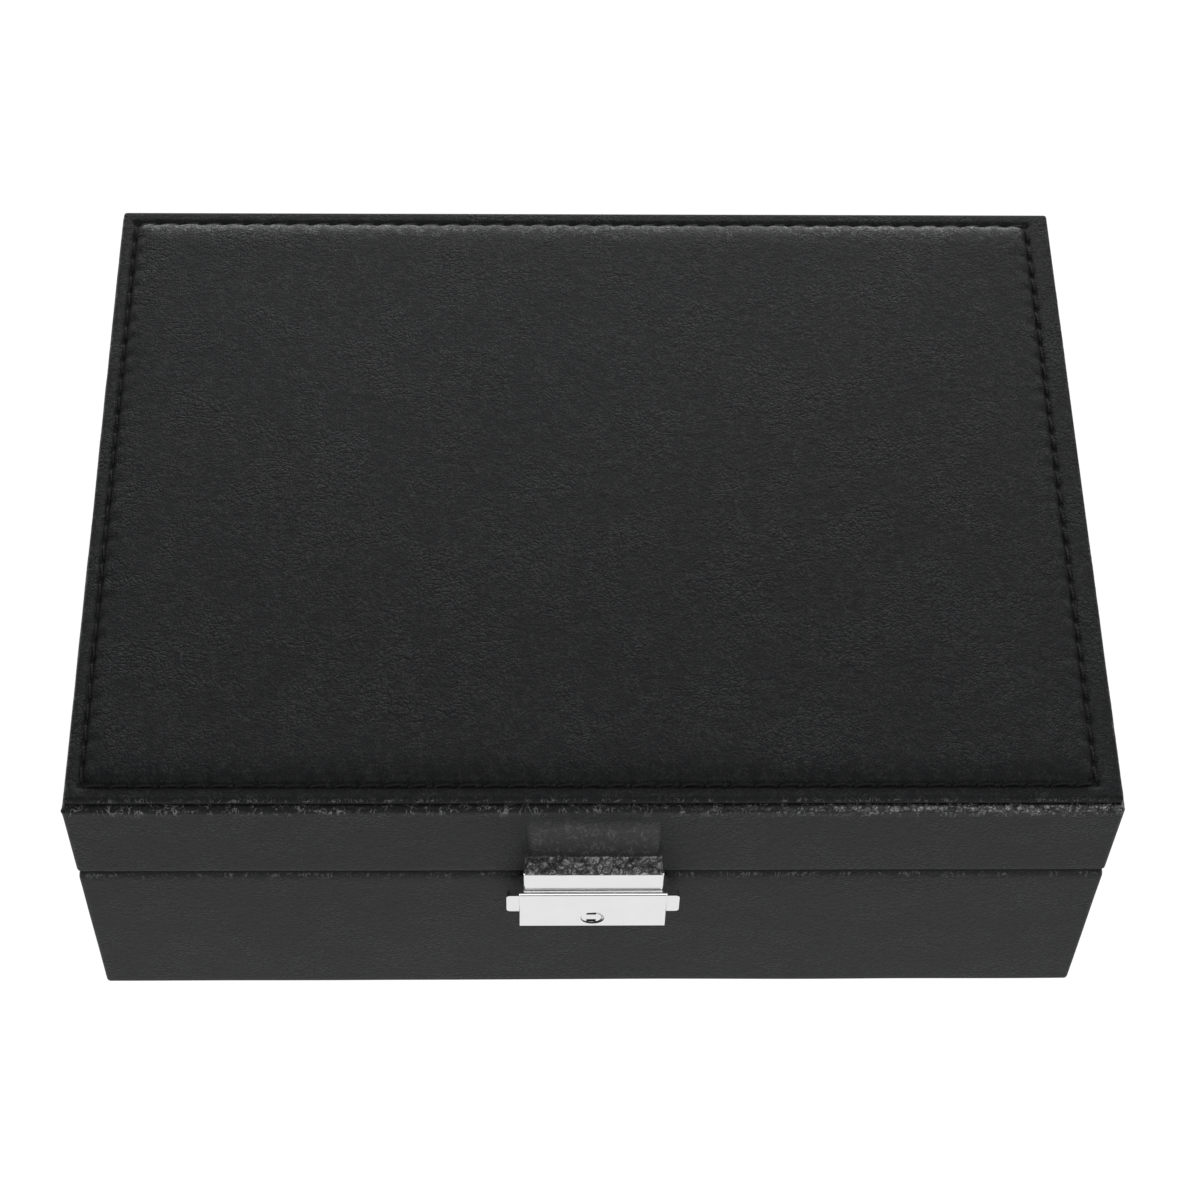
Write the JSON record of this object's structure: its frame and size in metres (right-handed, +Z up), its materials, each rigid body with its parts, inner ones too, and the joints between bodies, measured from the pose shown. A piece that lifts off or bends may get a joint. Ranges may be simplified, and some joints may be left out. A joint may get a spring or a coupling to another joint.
{
  "type": "jewelry gift box",
  "caption": "Leather-covered jewelry gift box with a hinged padded lid, a lift-out tray, a mirror and a squeeze lock with a key plug.",
  "frame": {"origin": "middle of the underside, on the surface that the box stands on, halfway between the side walls and between the front and back walls", "axes": "+X to the right along the lock side, +Y from the lock to the hinges, +Z up"},
  "size_m": [0.23, 0.1798, 0.0866],
  "materials": {
    "leather_black": "satin",
    "board": "matte",
    "greyboard": "matte",
    "foam": "matte",
    "velvet": "matte",
    "ribbon": "satin",
    "felt": "matte",
    "mirror": "polished",
    "thread": "satin",
    "chrome": "polished",
    "plated_steel": "satin"
  },
  "bodies": {
    "base": {"base_back_board": "board", "base_back_lining": "velvet", "base_floor_board": "board", "base_floor_pad": "velvet", "base_front_board": "board", "base_front_lining": "velvet", "base_left_board": "board", "base_left_lining": "velvet", "base_right_board": "board", "base_right_lining": "velvet", "base_wrap": "leather_black", "foot_sheet": "felt", "hinge_base_screws": "plated_steel", "left_hinge_base_leaf": "plated_steel", "left_hinge_pin": "plated_steel", "left_latch_spring": "plated_steel", "lock_back_plate": "plated_steel", "lock_housing": "chrome", "lock_mounting_screws": "plated_steel", "lower_cross_dividers": "velvet", "lower_long_divider": "velvet", "right_hinge_base_leaf": "plated_steel", "right_hinge_pin": "plated_steel", "right_latch_spring": "plated_steel", "tray_ledges": "velvet"},
    "lid": {"hasp_plate": "chrome", "hasp_screws": "plated_steel", "hasp_strap": "leather_black", "hinge_lid_screws": "plated_steel", "left_hinge_lid_leaf": "plated_steel", "lid_back_board": "board", "lid_ceiling_pad": "velvet", "lid_foam_pad": "foam", "lid_front_board": "board", "lid_left_board": "board", "lid_panel_card": "greyboard", "lid_right_board": "board", "lid_side_lining": "velvet", "lid_stitching": "thread", "lid_top_board": "board", "lid_top_cover": "leather_black", "lid_wrap": "leather_black", "mirror_frame": "velvet", "mirror_glass": "mirror", "right_hinge_lid_leaf": "plated_steel"},
    "tray": {"ring_rolls": "velvet", "tray_back_divider": "velvet", "tray_back_wall": "velvet", "tray_cell_dividers": "velvet", "tray_floor": "velvet", "tray_front_wall": "velvet", "tray_left_wall": "velvet", "tray_lift_tabs": "ribbon", "tray_main_divider": "velvet", "tray_middle_divider": "velvet", "tray_right_wall": "velvet"},
    "left_latch": {"left_latch_slider": "chrome"},
    "right_latch": {"right_latch_slider": "chrome"},
    "key_plug": {"lock_cylinder": "chrome", "lock_cam": "plated_steel"}
  },
  "joints": [
    {"name": "lid_hinge", "type": "hinge", "parent": "base", "child": "lid", "pos_m": [0, 0.0872, 0.05525], "axis": [-1, 0, 0], "range_deg": [0, 100]},
    {"name": "tray_lift", "type": "slide", "parent": "base", "child": "tray", "axis": [0, 0, 1], "range_m": [0, 0.012]},
    {"name": "left_latch_press", "type": "slide", "parent": "base", "child": "left_latch", "axis": [1, 0, 0], "range_m": [0, 0.002], "stiffness_N_per_m": 300, "springref_m": -0.004, "deforming": ["left_latch_spring"]},
    {"name": "right_latch_press", "type": "slide", "parent": "base", "child": "right_latch", "axis": [-1, 0, 0], "range_m": [0, 0.002], "stiffness_N_per_m": 300, "springref_m": -0.004, "deforming": ["right_latch_spring"]},
    {"name": "key_turn", "type": "hinge", "parent": "base", "child": "key_plug", "pos_m": [-0.0003, -0.088, 0.0437], "axis": [0, 1, 0], "range_deg": [0, 90]}
  ]
}
